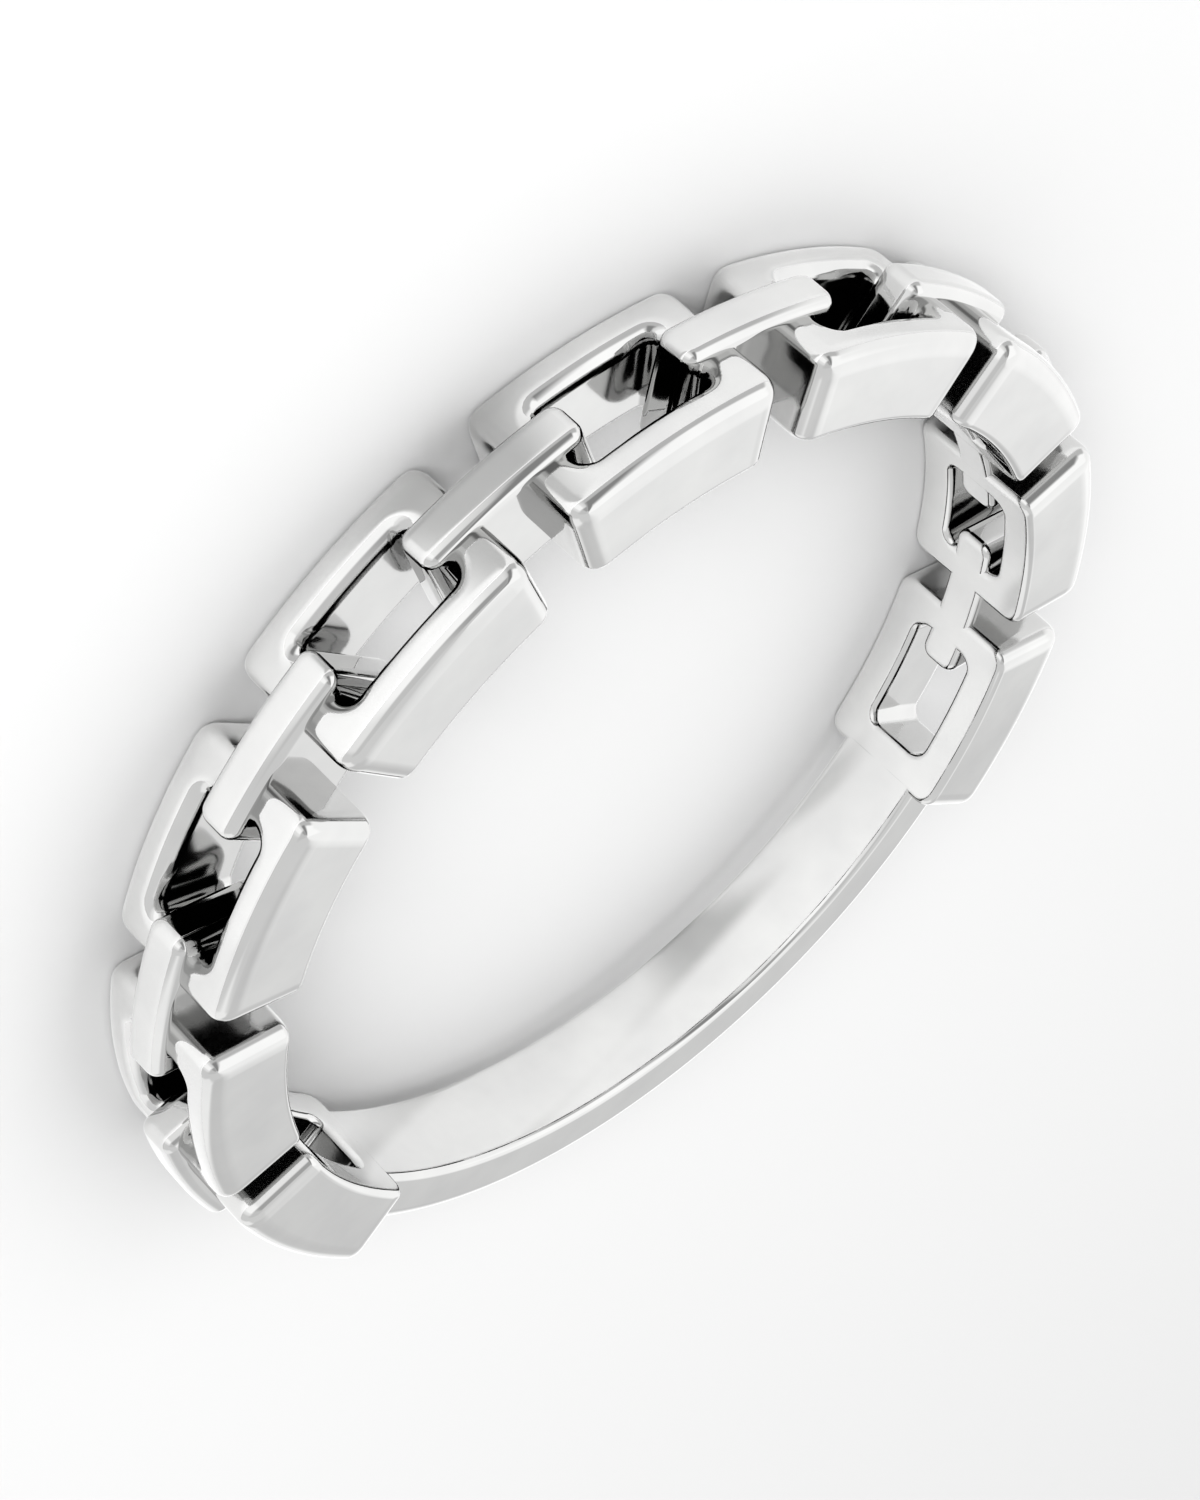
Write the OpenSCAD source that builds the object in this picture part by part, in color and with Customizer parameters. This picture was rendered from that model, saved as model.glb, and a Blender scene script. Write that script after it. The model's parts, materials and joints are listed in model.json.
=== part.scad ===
// Chain link ring, one solid piece of white metal.
// The ring lies on its side: the finger hole runs along Z, the shank points to -Y.
// The origin is the middle of the finger hole, half way across the band.

/* [Finger hole] */
// Diameter of the finger hole
finger_d = 17.3; // [15.5:0.1:22]
// Rounding of every edge that lies against the finger
comfort_r = 0.15; // [0.06:0.01:0.2]

/* [Links] */
// Number of links in the chain
link_count = 9; // [4:1:10]
// Length of a link, measured round the finger hole
link_len = 3.68; // [3.3:0.02:3.9]
// Clear gap between two links, measured round the finger hole
link_gap = 0.77; // [0.5:0.01:0.9]
// What the first and the last link are longer by
end_link_extra = 0.18; // [0:0.02:0.4]
// Width of a link, across the band
link_w = 2.88; // [2.6:0.02:3.4]
// Thickness of a link, from the finger hole outwards
link_t = 1.75; // [1.4:0.05:2.2]
// Width of a link's two side rails
rail_w = 0.76; // [0.7:0.02:0.86]
// Length of a link's two end bars, measured round the finger hole
end_bar = 0.7; // [0.7:0.02:0.8]
// Rounding of a link's outer edges
edge_r = 0.32; // [0.15:0.01:0.34]
// Rounding of the outer mouth of a link's window
mouth_r = 0.34; // [0.1:0.01:0.36]

/* [Connectors] */
// Length of a connector, from end to end
conn_len = 3.35; // [3:0.05:3.5]
// Width of a connector, across the band
conn_w = 0.86; // [0.76:0.02:1]
// How far a connector stands out above the links
conn_rise = 0.3; // [0.1:0.02:0.5]
// Rounding of a connector's outer edges along its length
conn_edge_r = 0.24; // [0.1:0.01:0.34]
// Rounding of a connector's ends, seen from the side
conn_end_r = 0.32; // [0.15:0.01:0.5]
// Rounding of a connector's ends, seen from above
conn_nose_r = 0.26; // [0.1:0.01:0.36]

/* [Shank] */
// Width of the plain shank, across the band
shank_w = 1.92; // [1.4:0.04:2.4]
// Thickness of the plain shank
shank_t = 1.22; // [0.9:0.02:1.4]
// Rounding of the shank's outer edges
shank_edge_r = 0.35; // [0.1:0.01:0.42]

/* [Hidden] */
$fn = 96;

// Radii of the four walls, from the ring's axis
bore_r = finger_d / 2;
link_r = bore_r + link_t;
conn_r = link_r + conn_rise;
shank_r = bore_r + shank_t;

// How far a cutting shape reaches past the metal, and a turned one past its ends in degrees
clear = 1;
spare_turn = 1;
inside_r = bore_r - clear;
outside_r = conn_r + clear;
clear_h = link_w + 2 * clear;

// A length along the finger hole, turned into an angle round the axis
function turn(length) = length / bore_r * 180 / PI;
function polar(r, a) = [r * cos(a), r * sin(a)];

// The chain's middle points to +Y, and the link numbered 0 lies at the angle chain_start
pitch = turn(link_len + link_gap);
chain_start = 90 + pitch * (link_count - 1) / 2;
end_shift = turn(end_link_extra / 2);
window_w = link_w - 2 * rail_w;

// The shank starts and ends inside the end bars of the first and the last link
shank_turn = 2 * (270 - chain_start - turn(link_len / 2 + end_link_extra - end_bar / 2));

// What a rounding takes off the low corner of a square
module corner_cut(rounding) {
    difference() {
        square(rounding);
        translate([rounding, rounding]) circle(rounding);
    }
}

// Section of a band from radius r0 to radius r1, its inner and outer edges rounded
module band_section(r0, r1, w, inner_round, outer_round) {
    difference() {
        translate([r0, -w / 2]) square([r1 - r0, w]);
        for (side = [0, 1]) mirror([0, side]) {
            translate([r0, -w / 2]) corner_cut(inner_round);
            translate([r1, -w / 2]) mirror([1, 0]) corner_cut(outer_round);
        }
    }
}

// A section turned round the axis, from the angle -a to the angle a
module turned(a) {
    rotate([0, 0, -a]) rotate_extrude(angle = 2 * a) children();
}

// Flat wedge between the angles -a and a
module wedge(a) {
    polygon([[0, 0], polar(outside_r, -a), [outside_r / cos(a), 0], polar(outside_r, a)]);
}

// What a rounding that touches the radial line at angle a leaves, out to the radius reach_r.
// Its centre lies at radius centre_r, below the line (side -1) or above it (side 1)
module radial_corner(a, far_a, centre_r, rounding, reach_r, side) {
    centre_a = a + side * asin(rounding / centre_r);
    touch_r = sqrt(centre_r * centre_r - rounding * rounding);
    difference() {
        polygon([polar(centre_r, centre_a), polar(touch_r, a), polar(touch_r, far_a),
                 polar(reach_r, far_a), polar(reach_r, centre_a)]);
        translate(polar(centre_r, centre_a)) circle(rounding);
    }
}

// A link's outline in the ring's plane: radial ends, every corner rounded
module link_outline(a) {
    difference() {
        wedge(a);
        for (end = [0, 1]) mirror([0, end]) {
            radial_corner(a, 2 * a, link_r - edge_r, edge_r, outside_r, -1);
            radial_corner(a, 2 * a, bore_r + comfort_r, comfort_r, inside_r, -1);
        }
    }
}

// A window's outline in the ring's plane: radial ends that flare at both mouths
module window_outline(a) {
    wedge(a);
    for (end = [0, 1]) mirror([0, end]) {
        radial_corner(a, 0, link_r - mouth_r, mouth_r, outside_r, 1);
        radial_corner(a, 0, bore_r + comfort_r, comfort_r, inside_r, 1);
    }
}

// A window's section across the band: straight sides that flare at both mouths
module window_section() {
    difference() {
        translate([inside_r, -link_w / 2]) square([outside_r - inside_r, link_w]);
        for (side = [0, 1]) mirror([0, side]) difference() {
            translate([bore_r, window_w / 2]) square([link_t, rail_w]);
            translate([bore_r, window_w / 2]) corner_cut(comfort_r);
            translate([link_r, window_w / 2]) mirror([1, 0]) corner_cut(mouth_r);
        }
    }
}

// Metal on the low side of the end plane at angle a, its two radial edges rounded
module end_block(a) {
    rotate([0, 0, a]) translate([inside_r, 0, 0]) rotate([90, 0, 90])
        linear_extrude(outside_r - inside_r) difference() {
            translate([-outside_r, -link_w / 2]) square([outside_r, link_w]);
            for (side = [0, 1]) mirror([0, side]) translate([0, -link_w / 2])
                mirror([1, 0]) corner_cut(edge_r);
        }
}

// The hole through a link, between the angles -a and a
module window(a) {
    intersection() {
        turned(2 * a) window_section();
        linear_extrude(clear_h, center = true) window_outline(a);
    }
}

// One link, centred on the X axis
module link(length) {
    a = turn(length / 2);
    difference() {
        intersection() {
            turned(a + spare_turn) band_section(bore_r, link_r, link_w, comfort_r, edge_r);
            linear_extrude(clear_h, center = true) link_outline(a);
            end_block(a);
            mirror([0, 1, 0]) end_block(a);
        }
        window(turn(length / 2 - end_bar));
    }
}

// What a rounding leaves of a connector's corner, out to the radius reach_r.
// It touches the connector's end and a circle round the axis; its centre lies at radius centre_r
module plate_corner(centre_r, rounding, reach_r) {
    y = conn_len / 2 - rounding;
    x = sqrt(centre_r * centre_r - y * y);
    difference() {
        polygon([[x, y], [x, conn_len], [reach_r, conn_len], polar(reach_r, asin(y / centre_r))]);
        translate([x, y]) circle(rounding);
    }
}

// A connector's outline in the ring's plane: straight parallel ends, rounded corners
module connector_side() {
    difference() {
        translate([inside_r, -conn_len / 2]) square([outside_r - inside_r, conn_len]);
        for (end = [0, 1]) mirror([0, end]) {
            plate_corner(conn_r - conn_end_r, conn_end_r, outside_r);
            plate_corner(bore_r + comfort_r, comfort_r, inside_r);
        }
    }
}

// A connector's outline seen from outside the ring: long, with rounded ends
module connector_top() {
    difference() {
        square([conn_len, conn_w], center = true);
        for (end = [0, 1]) mirror([end, 0]) for (side = [0, 1]) mirror([0, side])
            translate([-conn_len / 2, -conn_w / 2]) corner_cut(conn_nose_r);
    }
}

// One connector, centred on the X axis: a plate on edge that ties two links together
module connector() {
    intersection() {
        turned(turn(conn_len / 2) + spare_turn)
            band_section(bore_r, conn_r, conn_w, comfort_r, conn_edge_r);
        linear_extrude(clear_h, center = true) connector_side();
        translate([inside_r, 0, 0]) rotate([90, 0, 90])
            linear_extrude(outside_r - inside_r) connector_top();
    }
}

// The plain part of the ring, from the last link round to the first
module shank() {
    rotate([0, 0, 270]) turned(shank_turn / 2)
        band_section(bore_r, shank_r, shank_w, comfort_r, shank_edge_r);
}

// All links, connectors and the shank: one casting, so one solid
module ring() {
    color("Silver") {
        for (i = [1 : link_count - 2]) rotate([0, 0, chain_start - i * pitch]) link(link_len);
        for (end = [0, 1]) mirror([end, 0, 0])
            rotate([0, 0, chain_start + end_shift]) link(link_len + end_link_extra);
        for (i = [0 : link_count - 2]) rotate([0, 0, chain_start - (i + 0.5) * pitch]) connector();
        shank();
    }
}

ring();
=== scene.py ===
import json
import math

import bpy
import numpy as np
from mathutils import Matrix, Vector
from mathutils.bvhtree import BVHTree


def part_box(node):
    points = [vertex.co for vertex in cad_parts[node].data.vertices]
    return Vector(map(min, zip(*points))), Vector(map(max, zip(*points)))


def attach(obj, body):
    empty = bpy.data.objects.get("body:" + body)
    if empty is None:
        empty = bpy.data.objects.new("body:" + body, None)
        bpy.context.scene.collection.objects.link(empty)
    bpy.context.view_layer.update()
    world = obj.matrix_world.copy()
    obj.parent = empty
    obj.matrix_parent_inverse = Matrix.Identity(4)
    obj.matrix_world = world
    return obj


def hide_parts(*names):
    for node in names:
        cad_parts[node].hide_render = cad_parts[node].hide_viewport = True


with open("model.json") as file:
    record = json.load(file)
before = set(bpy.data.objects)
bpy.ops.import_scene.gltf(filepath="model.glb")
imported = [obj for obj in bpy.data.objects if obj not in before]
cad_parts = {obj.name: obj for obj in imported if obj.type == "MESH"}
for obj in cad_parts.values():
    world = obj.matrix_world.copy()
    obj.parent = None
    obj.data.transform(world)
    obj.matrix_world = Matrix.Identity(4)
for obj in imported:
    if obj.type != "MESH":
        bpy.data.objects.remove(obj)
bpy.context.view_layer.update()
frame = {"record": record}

# Sizes, in metres. The finger hole and the links' width come from the frame
MM = 0.001
HOLE = next(mount for mount in frame["record"]["mounts"] if mount["name"] == "finger_hole")
BORE_R = HOLE["dims"]["r_mm"] * MM
LINK_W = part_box("ring")[1].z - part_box("ring")[0].z
COMFORT_R = 0.15 * MM       # rounding of every edge against the finger

LINK_COUNT = 9
LINK_T = 1.75 * MM
LINK_LEN = 3.68 * MM        # round the finger hole, as all lengths of links
LINK_GAP = 0.77 * MM
END_LINK_EXTRA = 0.18 * MM  # what the first and last link are longer by
RAIL_W = 0.76 * MM
END_BAR = 0.70 * MM
EDGE_OVER = 0.36 * MM       # a link's outer edges: how far they round over its outer face
EDGE_DOWN = 0.46 * MM       # and down its sides
CORNER_R = 0.44 * MM        # its corners, seen from outside
MOUTH_R = 0.34 * MM         # outer mouth of its window
WINDOW_CORNER_R = 0.28 * MM

CONN_LEN = 3.35 * MM
CONN_W = 0.86 * MM
CONN_RISE = 0.30 * MM
CONN_EDGE_R = 0.24 * MM
CONN_NOSE_R = 0.27 * MM     # ends of a connector, seen from outside

SHANK_W = 1.92 * MM
SHANK_T = 1.22 * MM
SHANK_EDGE_R = 0.35 * MM

# Connectors and shank lie this much behind the links' inner face, too little to be seen
FLUSH_STEP = 0.004 * MM

# Powers of a rounding: an arc, and a softer curve that runs gently into its flats
ROUND = 2
EASED = 2.7

# The chain's middle points to +Y, and its first link lies on the -X side
QUARTER = math.pi / 2
LINK_R = BORE_R + LINK_T
PITCH = (LINK_LEN + LINK_GAP) / BORE_R
CHAIN_START = QUARTER + PITCH * (LINK_COUNT - 1) / 2
REST_Z = -LINK_W / 2

# Steps of the mesh along a loop's long side, half its short side and a corner
LINK_LOOP = (14, 3, 8)
CONN_LOOP = (14, 3, 7)
# Steps across a flat face or wall, across each kind of rounding and along the shank
FLAT_STEPS = 3
COMFORT_STEPS = 5
MOUTH_STEPS = 7
LINK_EDGE_STEPS = 9
CONN_EDGE_STEPS = 8
SHANK_EDGE_STEPS = 8
SHANK_STEPS = 72

# The metal's tone and gloss vary in patches. Scales are in features per metre, and a detail is
# the number of finer octaves and their strength
METAL_TONES = ((0.540, 0.540, 0.538, 1), (0.580, 0.580, 0.575, 1))
PATCH_SCALE = 700
PATCH_DETAIL = (3.0, 0.55)
PATCH_SPAN = (0.3, 0.7)
PATCH_ROUGHNESS = (0.02, 0.045)
# Polishing lines round the ring
LINE_ALONG = 150
LINE_ACROSS = 11000
LINE_DETAIL = (2.0, 0.6)
LINE_SPAN = (0.45, 0.75)
LINE_ROUGHNESS = 0.035
LINE_DEPTH = 0.00004 * MM
# Soft waviness of a hand finish
WAVE_SCALE = 420
WAVE_DETAIL = (1.0, 0.4)
WAVE_DEPTH = 0.012 * MM
# Faces that a polishing wheel doesn't reach: the mesh's attribute that marks them, how squarely
# a face has to look at its neighbour to start counting and to count wholly, and its roughness
HIDDEN = "hidden_from_wheel"
HIDDEN_FROM = 0.70
HIDDEN_WHOLLY = 0.95
HIDDEN_ROUGHNESS = 0.12


def steps(start, end, count, ends=True):
    """Evenly spaced values from start to end, with or without the two ends."""
    values = np.linspace(start, end, count + 1)
    return values if ends else values[1:-1]


def rounding(angle, power, first_reach=1, second_reach=1):
    """A place on a quarter rounding, as shares of its two reaches, and its normal."""
    place = np.array([math.cos(angle), math.sin(angle)]) ** (2 / power)
    normal = place ** (power - 1) / (first_reach, second_reach)
    return place, normal / np.linalg.norm(normal)


def rounded_rectangle(half_s, half_z, corner, power, long_steps, short_steps, arc_steps):
    """Closed loop of points (s, z) and outward normals, from the middle of the +s side.
    Point i and point -i mirror each other in z."""
    points = []
    normals = []

    def line(start, end, normal, count):
        for t in steps(0, 1, count)[:-1]:
            points.append((start[0] + (end[0] - start[0]) * t, start[1] + (end[1] - start[1]) * t))
            normals.append(normal)

    def arc(centre, first_angle):
        spin = np.array(Matrix.Rotation(first_angle, 2))
        for angle in steps(0, QUARTER, arc_steps)[:-1]:
            place, normal = rounding(angle, power)
            points.append(tuple(centre + corner * spin @ place))
            normals.append(tuple(spin @ normal))

    s, z = half_s - corner, half_z - corner
    line((half_s, 0), (half_s, z), (1, 0), short_steps)
    arc((s, z), 0)
    line((s, half_z), (-s, half_z), (0, 1), long_steps)
    arc((-s, z), QUARTER)
    line((-half_s, z), (-half_s, -z), (-1, 0), 2 * short_steps)
    arc((-s, -z), 2 * QUARTER)
    line((-s, -half_z), (s, -half_z), (0, -1), long_steps)
    arc((s, -z), 3 * QUARTER)
    line((half_s, -z), (half_s, 0), (1, 0), short_steps)
    return np.array(points), np.array(normals)


def on_ring(points, normals, radius, slope):
    """Bends a loop (s, z) round the ring's axis at a radius. Slope 0 keeps the loop's own
    normals, 90 degrees turns them all outwards."""
    turn = points[:, 0] / radius
    out = np.stack([np.cos(turn), np.sin(turn), np.zeros_like(turn)], 1)
    along = np.stack([-np.sin(turn), np.cos(turn), np.zeros_like(turn)], 1)
    across = np.array([[0, 0, 1]])
    place = radius * out + points[:, 1:] * across
    level = normals[:, :1] * along + normals[:, 1:] * across
    return place, math.cos(slope) * level + math.sin(slope) * out


def quads(loop_count, point_count, closed):
    """Faces between successive loops of points. Each loop is closed, and where the whole grid is
    closed too, the last loop joins the first."""
    faces = []
    for i in range(loop_count if closed else loop_count - 1):
        a, b = i * point_count, (i + 1) % loop_count * point_count
        for j in range(point_count):
            k = (j + 1) % point_count
            faces.append((a + j, a + k, b + k, b + j))
    return faces


def turned(loops, faces, turn):
    """Loops of points and normals as one shape, turned round the ring's axis."""
    spin = np.array(Matrix.Rotation(turn, 3, "Z"))
    places = np.concatenate([place for place, normal in loops]) @ spin.T
    normals = np.concatenate([normal for place, normal in loops]) @ spin.T
    return places, normals, faces


def link_solid(length, turn):
    """A link's points, normals and faces. The loops run up the window's wall, over the outer
    face, down the outside and back along the inner face."""
    half_turn = length / 2 / BORE_R
    window_turn = (length / 2 - END_BAR) / BORE_R
    window_w = LINK_W - 2 * RAIL_W

    def outside(radius, inset):
        return rounded_rectangle(half_turn * radius - inset, LINK_W / 2 - inset,
                                 CORNER_R - inset, EASED, *LINK_LOOP)

    def window(radius, flare):
        loop, normals = rounded_rectangle(window_turn * radius + flare, window_w / 2 + flare,
                                          WINDOW_CORNER_R + flare, ROUND, *LINK_LOOP)
        return loop, -normals

    def outer_edge(angles):
        for angle in angles:
            place, normal = rounding(angle, EASED, EDGE_OVER, EDGE_DOWN)
            radius = LINK_R - EDGE_DOWN * (1 - place[1])
            yield on_ring(*outside(radius, EDGE_OVER * (1 - place[0])), radius,
                          math.atan2(normal[1], normal[0]))

    def rounded(outline, edge_r, centre_r, slopes):
        for slope in slopes:
            radius = centre_r + edge_r * math.sin(slope)
            yield on_ring(*outline(radius, edge_r * (1 - math.cos(slope))), radius, slope)

    def wall(outline, start, end):
        for radius in steps(start, end, FLAT_STEPS, ends=False):
            yield on_ring(*outline(radius, 0), radius, 0)

    def flat(first, second, radius, slope):
        for share in steps(0, 1, FLAT_STEPS, ends=False):
            points = first[0] * (1 - share) + second[0] * share
            yield on_ring(points, first[1], radius, slope)

    inner_r, outer_r = BORE_R + COMFORT_R, LINK_R - MOUTH_R
    loops = [
        *rounded(window, COMFORT_R, inner_r, steps(-QUARTER, 0, COMFORT_STEPS)),
        *wall(window, inner_r, outer_r),
        *rounded(window, MOUTH_R, outer_r, steps(0, QUARTER, MOUTH_STEPS)),
        *flat(window(LINK_R, MOUTH_R), outside(LINK_R, EDGE_OVER), LINK_R, QUARTER),
        *outer_edge(steps(QUARTER, 0, LINK_EDGE_STEPS)),
        *wall(outside, LINK_R - EDGE_DOWN, inner_r),
        *rounded(outside, COMFORT_R, inner_r, steps(0, -QUARTER, COMFORT_STEPS)),
        *flat(outside(BORE_R, COMFORT_R), window(BORE_R, COMFORT_R), BORE_R, -QUARTER),
    ]
    faces = [face[::-1] for face in quads(len(loops), len(loops[0][0]), closed=True)]
    return turned(loops, faces, turn)


def across_faces(count, short_steps):
    """Faces that close a rounded rectangle of count points: strips across it, each from a point
    to its mirror, and one face at each short end."""
    first, last = short_steps + 1, count // 2 - short_steps - 1
    yield tuple(i % count for i in range(first, -first - 1, -1))
    for i in range(first, last):
        yield i, -i % count, -(i + 1) % count, i + 1
    yield tuple(range(count - last, last - 1, -1))


def connector_solid(turn):
    """A plate on edge, centred on the X axis and then turned. A small sphere rolls round its
    outer and its inner edge; both faces follow the ring."""
    outer_r = LINK_R + CONN_RISE

    def rolled_edge(edge_r, centre_r, side, slopes):
        points, normals = rounded_rectangle(CONN_LEN / 2 - edge_r, CONN_W / 2 - edge_r,
                                            CONN_NOSE_R - edge_r, ROUND, *CONN_LOOP)
        height = np.sqrt(centre_r ** 2 - points[:, 0] ** 2)
        centres = np.stack([height, points[:, 0], points[:, 1]], 1)
        level = np.stack([np.zeros(len(points)), normals[:, 0], normals[:, 1]], 1)
        out = side * centres * [1, 1, 0] / centre_r
        for slope in slopes:
            direction = math.cos(slope) * level + math.sin(slope) * out
            direction /= np.linalg.norm(direction, axis=1)[:, None]
            yield centres + edge_r * direction, direction

    bottom = list(rolled_edge(COMFORT_R, BORE_R + FLUSH_STEP + COMFORT_R, -1,
                              steps(QUARTER, 0, COMFORT_STEPS)))
    top = list(rolled_edge(CONN_EDGE_R, outer_r - CONN_EDGE_R, 1,
                           steps(0, QUARTER, CONN_EDGE_STEPS)))
    between = [tuple(a * (1 - t) + b * t for a, b in zip(bottom[-1], top[0]))
               for t in steps(0, 1, FLAT_STEPS, ends=False)]
    loops = bottom + between + top
    count = len(loops[0][0])
    faces = quads(len(loops), count, closed=False)
    last = (len(loops) - 1) * count
    _, short_steps, _ = CONN_LOOP
    for cap in across_faces(count, short_steps):
        faces.append(cap)
        faces.append(tuple(last + v for v in cap[::-1]))
    return turned(loops, faces, turn)


def shank_solid():
    """A plain band from inside the last link's end bar round to the first link's."""
    reach = 3 * QUARTER - CHAIN_START - (LINK_LEN / 2 + END_LINK_EXTRA - END_BAR / 2) / BORE_R
    inner, outer = BORE_R + FLUSH_STEP, BORE_R + SHANK_T
    corners = [
        # radius and height of a rounding's centre, and its own radius
        (outer - SHANK_EDGE_R, SHANK_W / 2 - SHANK_EDGE_R, SHANK_EDGE_R),
        (inner + COMFORT_R, SHANK_W / 2 - COMFORT_R, COMFORT_R),
        (inner + COMFORT_R, COMFORT_R - SHANK_W / 2, COMFORT_R),
        (outer - SHANK_EDGE_R, SHANK_EDGE_R - SHANK_W / 2, SHANK_EDGE_R),
    ]
    section = []
    for i, (radius, z, corner_r) in enumerate(corners):
        for slope in steps(i * QUARTER, (i + 1) * QUARTER, SHANK_EDGE_STEPS):
            normal = (math.cos(slope), math.sin(slope))
            section.append((radius + corner_r * normal[0], z + corner_r * normal[1], *normal))
    section = np.array(section)
    across = np.array([0, 0, 1])
    loops = []
    for turn in steps(-reach, reach, SHANK_STEPS):
        out = np.array([math.cos(turn), math.sin(turn), 0])
        loops.append((section[:, :1] * out + section[:, 1:2] * across,
                      section[:, 2:3] * out + section[:, 3:] * across))
    count = len(section)
    faces = [face[::-1] for face in quads(len(loops), count, closed=False)]
    faces.append(tuple(range(count)))
    faces.append(tuple(len(loops) * count - 1 - i for i in range(count)))
    return turned(loops, faces, 3 * QUARTER)


def joined(shapes):
    """Several shapes as one: points, normals and faces."""
    places, normals, faces = [], [], []
    base = 0
    for place, normal, shape_faces in shapes:
        places.append(place)
        normals.append(normal)
        faces += [tuple(base + v for v in face) for face in shape_faces]
        base += len(place)
    return np.concatenate(places), np.concatenate(normals), faces


def ring_shapes():
    """The links as one shape, and the connectors and the shank as another."""
    links = []
    for i in range(LINK_COUNT):
        turn = CHAIN_START - i * PITCH
        extra = END_LINK_EXTRA if i in (0, LINK_COUNT - 1) else 0
        shift = extra / 2 / BORE_R * (1 if i == 0 else -1)
        links.append(link_solid(LINK_LEN + extra, turn + shift))
    others = [connector_solid(CHAIN_START - (i + 0.5) * PITCH) for i in range(LINK_COUNT - 1)]
    others.append(shank_solid())
    return joined(links), joined(others)


def mesh_object(name, shape, kind):
    """An object for a shape of kind 0 or 1. Every face carries its kind as the number of one of
    two empty material slots, so that a fused mesh still tells its faces apart."""
    mesh = bpy.data.meshes.new(name)
    mesh.from_pydata(shape[0].tolist(), [], shape[2])
    mesh.validate()
    for _ in range(2):
        mesh.materials.append(None)
    mesh.polygons.foreach_set("material_index", [kind] * len(mesh.polygons))
    made = bpy.data.objects.new(name, mesh)
    bpy.context.scene.collection.objects.link(made)
    return made


def fuse(kept, added):
    """Unites the second object's mesh with the first's, and removes the second."""
    union = kept.modifiers.new("fuse", "BOOLEAN")
    union.operation = "UNION"
    union.solver = "EXACT"
    union.object = added
    graph = bpy.context.evaluated_depsgraph_get()
    mesh = bpy.data.meshes.new_from_object(kept.evaluated_get(graph))
    kept.modifiers.clear()
    kept.data = mesh
    bpy.data.objects.remove(added)


def triangles_with_normals(shape):
    """A search tree over a shape's triangles, those triangles, and its points and normals."""
    places, normals, faces = shape
    triangles = [(face[0], face[i], face[i + 1]) for face in faces for i in range(1, len(face) - 1)]
    tree = BVHTree.FromPolygons(places.tolist(), triangles)
    return tree, np.array(triangles), places, normals


def normal_at(source, point):
    """The smooth normal of the shape at the place nearest to a point."""
    tree, triangles, places, normals = source
    found, _, index, _ = tree.find_nearest(point)
    corners = triangles[index]
    a, b, c = places[corners]
    edges = np.stack([b - a, c - a], 1)
    shares = np.linalg.lstsq(edges, np.array(found) - a, rcond=None)[0]
    weights = np.clip([1 - shares.sum(), *shares], 0, 1)
    normal = weights @ normals[corners]
    return normal / np.linalg.norm(normal)


def loop_normals(mesh, shapes):
    """A fused mesh's normal at each corner of a face, taken from the shape that the face is of."""
    sources = [triangles_with_normals(shape) for shape in shapes]
    normals = [None] * len(mesh.loops)
    known = {}
    for face in mesh.polygons:
        kind = face.material_index
        for loop in face.loop_indices:
            vertex = mesh.loops[loop].vertex_index
            if (kind, vertex) not in known:
                known[kind, vertex] = normal_at(sources[kind], mesh.vertices[vertex].co)
            normals[loop] = known[kind, vertex]
    return np.array(normals)


def hidden_share(places, normals, on_link):
    """How far each place lies where a polishing wheel doesn't reach, from 0 to 1: a link's faces
    along the ring, in the gaps, and the window walls, which face the middle of the band."""
    radii = np.linalg.norm(places[:, :2], axis=1)
    along = np.abs(normals[:, 1] * places[:, 0] - normals[:, 0] * places[:, 1]) / radii
    inwards = -normals[:, 2] * np.sign(places[:, 2])
    facing = np.maximum(along, inwards)
    return on_link * np.clip((facing - HIDDEN_FROM) / (HIDDEN_WHOLLY - HIDDEN_FROM), 0, 1)


def fused_ring():
    """Links, connectors and shank fused into one closed mesh that keeps their exact normals."""
    shapes = ring_shapes()
    ring = mesh_object("ring_body", shapes[0], 0)
    fuse(ring, mesh_object("ring_others", shapes[1], 1))
    mesh = ring.data
    normals = loop_normals(mesh, shapes)
    places = np.array([mesh.vertices[loop.vertex_index].co for loop in mesh.loops])
    kinds = np.repeat([face.material_index for face in mesh.polygons],
                      [face.loop_total for face in mesh.polygons])
    hidden = mesh.attributes.new(HIDDEN, "FLOAT", "CORNER")
    hidden.data.foreach_set("value", hidden_share(places, normals, kinds == 0))
    mesh.polygons.foreach_set("material_index", [0] * len(mesh.polygons))
    mesh.polygons.foreach_set("use_smooth", [True] * len(mesh.polygons))
    mesh.materials.clear()
    mesh.normals_split_custom_set([tuple(normal) for normal in normals])
    mesh.update()
    return ring


# A vector Map Range's sockets: from lowest, from highest, to lowest, to highest
VECTOR_RANGE = (7, 8, 9, 10)


def node_maker(tree):
    """A function that adds a node to a tree and gives its first output. Its inputs are numbers,
    other nodes' outputs, or None for a socket that stays as it is."""
    def node(kind, *inputs, **settings):
        made = tree.nodes.new(kind)
        for key, value in settings.items():
            setattr(made, key, value)
        for socket, value in enumerate(inputs):
            if isinstance(value, bpy.types.NodeSocket):
                tree.links.new(value, made.inputs[socket])
            elif value is not None:
                made.inputs[socket].default_value = value
        return made.outputs[0]
    return node


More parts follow.
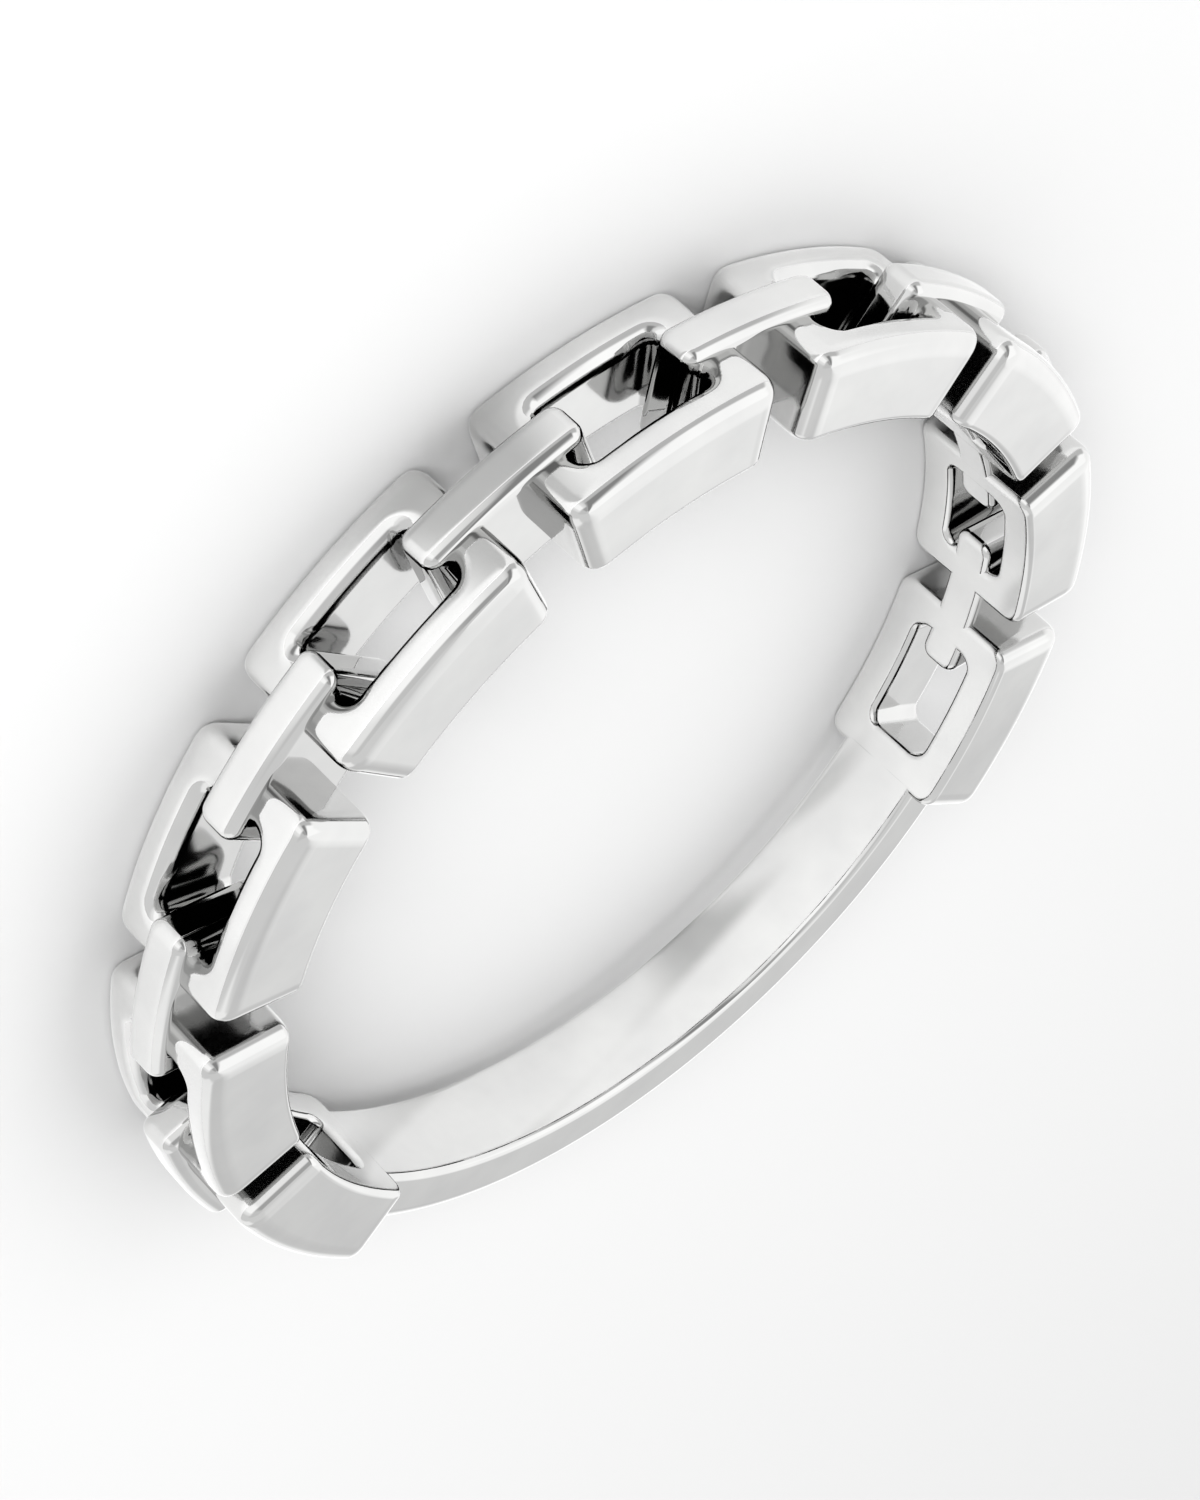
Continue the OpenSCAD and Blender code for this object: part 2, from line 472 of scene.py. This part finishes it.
def panelled(tree, place, level, panels):
    """A level, painted over with soft-edged panels in the first two coordinates of a place."""
    node = node_maker(tree)
    for x_from, x_to, y_from, y_to, soft, panel_level in panels:
        middle = Vector((x_from + x_to, y_from + y_to, 0)) / 2
        half = Vector((x_to - x_from, y_to - y_from, 0)) / 2
        fade = Vector((soft, soft, 0)) / 2
        off = node("ShaderNodeVectorMath", place, middle, operation="SUBTRACT")
        off = node("ShaderNodeVectorMath", off, operation="ABSOLUTE")
        ramp = node("ShaderNodeMapRange", data_type="FLOAT_VECTOR",
                    interpolation_type="SMOOTHSTEP").node
        tree.links.new(off, ramp.inputs["Vector"])
        for socket, value in zip(VECTOR_RANGE, (half + fade, half - fade, (0, 0, 0), (1, 1, 1))):
            ramp.inputs[socket].default_value = value
        across, up, _ = node("ShaderNodeSeparateXYZ", ramp.outputs["Vector"]).node.outputs
        inside = node("ShaderNodeMath", across, up, operation="MULTIPLY")
        level = node("ShaderNodeMix", inside, None, level, panel_level)
    return level


def polished_metal():
    """Mirror-polished white metal. Hair-fine polishing lines run round the ring, the surface keeps
    the soft waviness of a hand finish, and its tone and gloss vary a little in patches."""
    material = bpy.data.materials.new("polished_white_metal")
    material.use_nodes = True
    tree = material.node_tree
    shader = tree.nodes["Principled BSDF"]
    node = node_maker(tree)

    # The lines are thin across the band and outwards, and long round the ring
    place = tree.nodes.new("ShaderNodeTexCoord").outputs["Object"]
    flat = node("ShaderNodeVectorMath", place, (1, 1, 0), operation="MULTIPLY")
    radius = node("ShaderNodeVectorMath", flat, operation="LENGTH").node.outputs["Value"]
    outwards = node("ShaderNodeMath", radius, LINE_ACROSS, operation="MULTIPLY")
    stretched = node("ShaderNodeVectorMath", place, (LINE_ALONG, LINE_ALONG, LINE_ACROSS),
                     operation="MULTIPLY")
    lines = node("ShaderNodeTexNoise", stretched, outwards, 1.0, *LINE_DETAIL,
                 noise_dimensions="4D")
    waves = node("ShaderNodeTexNoise", place, None, WAVE_SCALE, *WAVE_DETAIL)
    patches = node("ShaderNodeTexNoise", place, None, PATCH_SCALE, *PATCH_DETAIL)

    tones = tree.nodes.new("ShaderNodeValToRGB")
    for element, position, tone in zip(tones.color_ramp.elements, PATCH_SPAN, METAL_TONES):
        element.position = position
        element.color = tone
    tree.links.new(patches, tones.inputs["Fac"])
    tree.links.new(tones.outputs["Color"], shader.inputs["Base Color"])
    shader.inputs["Metallic"].default_value = 1.0

    # Patches and lines set the gloss, except on the faces that the wheel doesn't reach
    gloss = node("ShaderNodeMapRange", patches, *PATCH_SPAN, *PATCH_ROUGHNESS)
    streaks = node("ShaderNodeMapRange", lines, *LINE_SPAN, 0.0, LINE_ROUGHNESS)
    polished = node("ShaderNodeMath", gloss, streaks, operation="ADD")
    hidden = tree.nodes.new("ShaderNodeAttribute")
    hidden.attribute_name = HIDDEN
    roughness = node("ShaderNodeMix", hidden.outputs["Fac"], None, polished, HIDDEN_ROUGHNESS)
    tree.links.new(roughness, shader.inputs["Roughness"])

    wavy = tree.nodes.new("ShaderNodeBump")
    wavy.inputs["Distance"].default_value = WAVE_DEPTH
    tree.links.new(waves, wavy.inputs["Height"])
    lined = tree.nodes.new("ShaderNodeBump")
    lined.inputs["Distance"].default_value = LINE_DEPTH
    open_share = node("ShaderNodeMath", 1.0, hidden.outputs["Fac"], operation="SUBTRACT")
    tree.links.new(open_share, lined.inputs["Strength"])
    tree.links.new(lines, lined.inputs["Height"])
    tree.links.new(wavy.outputs["Normal"], lined.inputs["Normal"])
    tree.links.new(lined.outputs["Normal"], shader.inputs["Normal"])
    return material


ring = fused_ring()
ring.data.materials.append(polished_metal())
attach(ring, "root")
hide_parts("ring")


# The floor that the ring lies on: its shade in the metal and for the light that it throws back,
# and its shade as seen directly, which lets its soft shadows show
FLOOR_HALF = 600 * MM
FLOOR_SHADE = 0.9
FLOOR_SHADE_SEEN = 0.57
FLOOR_ROUGHNESS = 0.6
# Paler and darker patches painted into its shade, which only the metal reflects: painted light and
# shade in the metal's reflections, in millimetres
FLOOR_PAINTED_REFLECTIONS = [
    # x from, x to, y from, y to, softness, shade
    (-25, -5.6, 3.2, 25, 2.4, 0.98),
    (-5.0, -1.2, 10, 25, 1.8, 0.58),
    (7.2, 25, -6, 11, 3.0, 0.78),
    (-8, 8.6, -9, 2, 1.5, 1.0),       # inside the finger hole
    (-4.6, -2.9, -9, -6.9, 0.8, 0.80),
    (1.5, 2.7, -9, -5.4, 0.9, 0.66),
    (3.9, 5.0, -6.2, -5.0, 0.7, 0.80),
]


def floor_sheet():
    """A plain square sheet at the height that the ring rests on."""
    mesh = bpy.data.meshes.new("floor")
    corners = [(x * FLOOR_HALF, y * FLOOR_HALF, REST_Z)
               for x, y in ((-1, -1), (1, -1), (1, 1), (-1, 1))]
    mesh.from_pydata(corners, [], [(0, 1, 2, 3)])
    made = bpy.data.objects.new("floor", mesh)
    bpy.context.scene.collection.objects.link(made)

    material = bpy.data.materials.new("pale_floor")
    material.use_nodes = True
    tree = material.node_tree
    shader = tree.nodes["Principled BSDF"]
    node = node_maker(tree)
    place = tree.nodes.new("ShaderNodeTexCoord").outputs["Object"]
    place = node("ShaderNodeVectorMath", place, (1 / MM, 1 / MM, 0), operation="MULTIPLY")
    # Painted reflections: paler and darker patches change only the shade that the metal reflects,
    # which puts painted light and shade into the metal
    painted_reflected_shade = panelled(tree, place, FLOOR_SHADE, FLOOR_PAINTED_REFLECTIONS)
    seen = tree.nodes.new("ShaderNodeLightPath").outputs["Is Camera Ray"]
    shade = node("ShaderNodeMix", seen, None, painted_reflected_shade, FLOOR_SHADE_SEEN)
    tree.links.new(shade, shader.inputs["Base Color"])
    shader.inputs["Roughness"].default_value = FLOOR_ROUGHNESS
    mesh.materials.append(material)
    return made


floor_sheet()


def direction_to(turn, rise):
    """The direction at a turn round the ring's axis and a rise above the floor."""
    return Vector((math.cos(rise) * math.cos(turn), math.cos(rise) * math.sin(turn),
                   math.sin(rise)))


# Camera: the photograph's direction, distance, roll and framing. The ring's middle lies a little
# right of the image's middle and below it, in pixels
VIEW_TURN = math.radians(114.8)
VIEW_RISE = math.radians(26.3)
VIEW_ROLL = math.radians(133.23)
VIEW_DISTANCE = 66.13 * MM
FOCAL_PX = 3690.0
IMAGE_H = 1500
RING_OFF_CENTRE = (25.5, 25.1)
SENSOR_MM = 36
CLIP_RANGE = (1 * MM, 10)


def photo_camera():
    """The scene's camera. It is turned a little off the ring, and its lens isn't shifted."""
    away = direction_to(VIEW_TURN, VIEW_RISE)
    level = (-away).cross(Vector((0, 0, 1))).normalized()
    down = (-away).cross(level)
    right = math.cos(VIEW_ROLL) * level - math.sin(VIEW_ROLL) * down
    below = math.sin(VIEW_ROLL) * level + math.cos(VIEW_ROLL) * down
    place = away * VIEW_DISTANCE
    per_px = VIEW_DISTANCE / FOCAL_PX
    aim = (-right * RING_OFF_CENTRE[0] - below * RING_OFF_CENTRE[1]) * per_px
    back = (place - aim).normalized()
    right = (-below).cross(back).normalized()
    up = back.cross(right)

    data = bpy.data.cameras.new("camera")
    data.sensor_width = SENSOR_MM
    data.lens = FOCAL_PX / IMAGE_H * SENSOR_MM
    data.clip_start, data.clip_end = CLIP_RANGE
    camera = bpy.data.objects.new("camera", data)
    rotation = Matrix((right, up, back)).transposed().to_4x4()
    camera.matrix_world = Matrix.Translation(place) @ rotation
    bpy.context.scene.collection.objects.link(camera)
    bpy.context.scene.camera = camera


photo_camera()


# Soft key light, which shapes the floor
KEY_TURN = math.radians(122)
KEY_RISE = math.radians(26)
KEY_DISTANCE = 200 * MM
KEY_SIZE = 90 * MM
KEY_POWER = 0.28

# Studio light: a dome with soft panels. Angles are in degrees, from -180 to 180, and levels are
# the dome's brightness
DOME_LEVEL = 0.80
BACKDROP_LEVEL = 0.64
DOME_PANELS = [
    # turn from, turn to, rise from, rise to, softness, level
    (-70, 28, -30, 100, 34, 1.10),    # large soft box, its dim half
    (-22, 62, 26, 100, 12, 1.19),     # large soft box, its bright half
    (-30, 18, -30, 40, 16, 1.10),     # its lower edge
    (30, 92, 0, 27, 14, 0.67),        # grey below it
    (58, 80, 8, 26, 14, 0.67),
    (70, 91, 20, 80, 10, 0.38),       # dark flag beside it
    (92, 128, 46, 76, 10, 0.52),      # another, above the camera
    (118, 168, 40, 85, 16, 0.73),     # grey beside that
    (98, 152, -20, 45, 16, 0.97),     # soft box behind the camera
    (109, 137, 0, 42, 9, 1.16),
    (-154, -116, -20, 42, 14, 1.03),  # soft box on the left
    (-114, -78, 14, 52, 18, 0.73),    # grey beside it
    (-114, -56, 8, 26, 14, 0.70),
    (-114, -30, -30, 8, 14, 0.97),    # pale horizon
]


def studio_dome():
    """A dome of light that the metal sees with its panels, and the camera as a plain backdrop."""
    world = bpy.data.worlds.new("studio")
    world.use_nodes = True
    tree = world.node_tree
    background = tree.nodes["Background"]
    node = node_maker(tree)

    def maths(operation, *inputs):
        return node("ShaderNodeMath", *inputs, operation=operation)

    direction = tree.nodes.new("ShaderNodeTexCoord").outputs["Generated"]
    x, y, z = node("ShaderNodeSeparateXYZ", direction).node.outputs
    rise = maths("DEGREES", maths("ARCSINE", z))
    turn = maths("DEGREES", maths("ARCTAN2", y, x))
    angles = node("ShaderNodeCombineXYZ", turn, rise)
    level = panelled(tree, angles, DOME_LEVEL, DOME_PANELS)
    seen = tree.nodes.new("ShaderNodeLightPath").outputs["Is Camera Ray"]
    strength = node("ShaderNodeMix", seen, None, level, BACKDROP_LEVEL)
    tree.links.new(strength, background.inputs["Strength"])
    background.inputs["Color"].default_value = (1, 1, 1, 1)
    # The dome is so even that no part of it needs to be sought out
    world.cycles.sampling_method = "NONE"
    bpy.context.scene.world = world


def key_light():
    """A round lamp that the metal doesn't reflect."""
    light = bpy.data.lights.new("key", "AREA")
    light.shape = "DISK"
    light.size = KEY_SIZE
    light.energy = KEY_POWER
    made = bpy.data.objects.new("key", light)
    away = direction_to(KEY_TURN, KEY_RISE)
    made.location = away * KEY_DISTANCE
    made.rotation_euler = away.to_track_quat("Z", "Y").to_euler()
    made.visible_glossy = False
    bpy.context.scene.collection.objects.link(made)


studio_dome()
key_light()
bpy.context.scene.view_settings.view_transform = "Standard"
bpy.context.scene.view_settings.look = "High Contrast"
# Light is followed through three reflections in the metal, and what lies deeper goes black
bpy.context.scene.cycles.glossy_bounces = 2
